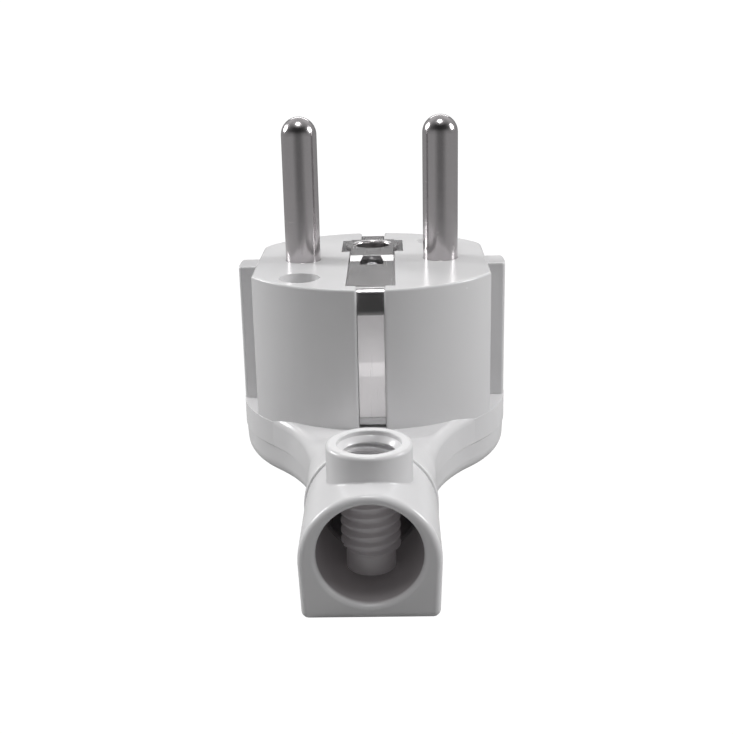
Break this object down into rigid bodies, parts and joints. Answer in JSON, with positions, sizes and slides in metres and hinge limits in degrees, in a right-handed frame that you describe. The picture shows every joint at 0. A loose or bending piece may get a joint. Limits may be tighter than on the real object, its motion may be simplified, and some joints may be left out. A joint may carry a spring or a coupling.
{
  "type": "type f plug",
  "caption": "Rewirable earthed mains plug with round pins, side earth clips, an earth pin hole and a hooded side cable entry with a cord grip screw.",
  "frame": {"origin": "on the plug's axis, midway between the pins, at the flat back face", "axes": "+Z along the pins, away from the back face; the pins lie along X; the cable neck points to -Y"},
  "size_m": [0.0368, 0.0698, 0.0465],
  "materials": {
    "white_shell": "satin gloss moulded",
    "white_screw": "moulded, thread satin",
    "plated_pin": "nickel plated, polished",
    "plated_strip": "nickel plated strip",
    "steel_screw": "zinc plated",
    "brass_fitting": "machined",
    "carrier_plastic": "moulded"
  },
  "bodies": {
    "root": {"face_shell": "white_shell", "base_shell": "white_shell", "cord_grip_screw": "white_screw", "pin_left": "plated_pin", "pin_right": "plated_pin", "terminal_screw_left": "steel_screw", "terminal_screw_right": "steel_screw", "pin_carrier": "carrier_plastic", "carrier_screw_left": "steel_screw", "carrier_screw_right": "steel_screw", "housing_screw": "steel_screw", "housing_insert": "brass_fitting", "earth_strap": "plated_strip", "earth_socket": "plated_strip", "earth_terminal": "brass_fitting", "earth_terminal_screw": "steel_screw"}
  },
  "joints": []
}
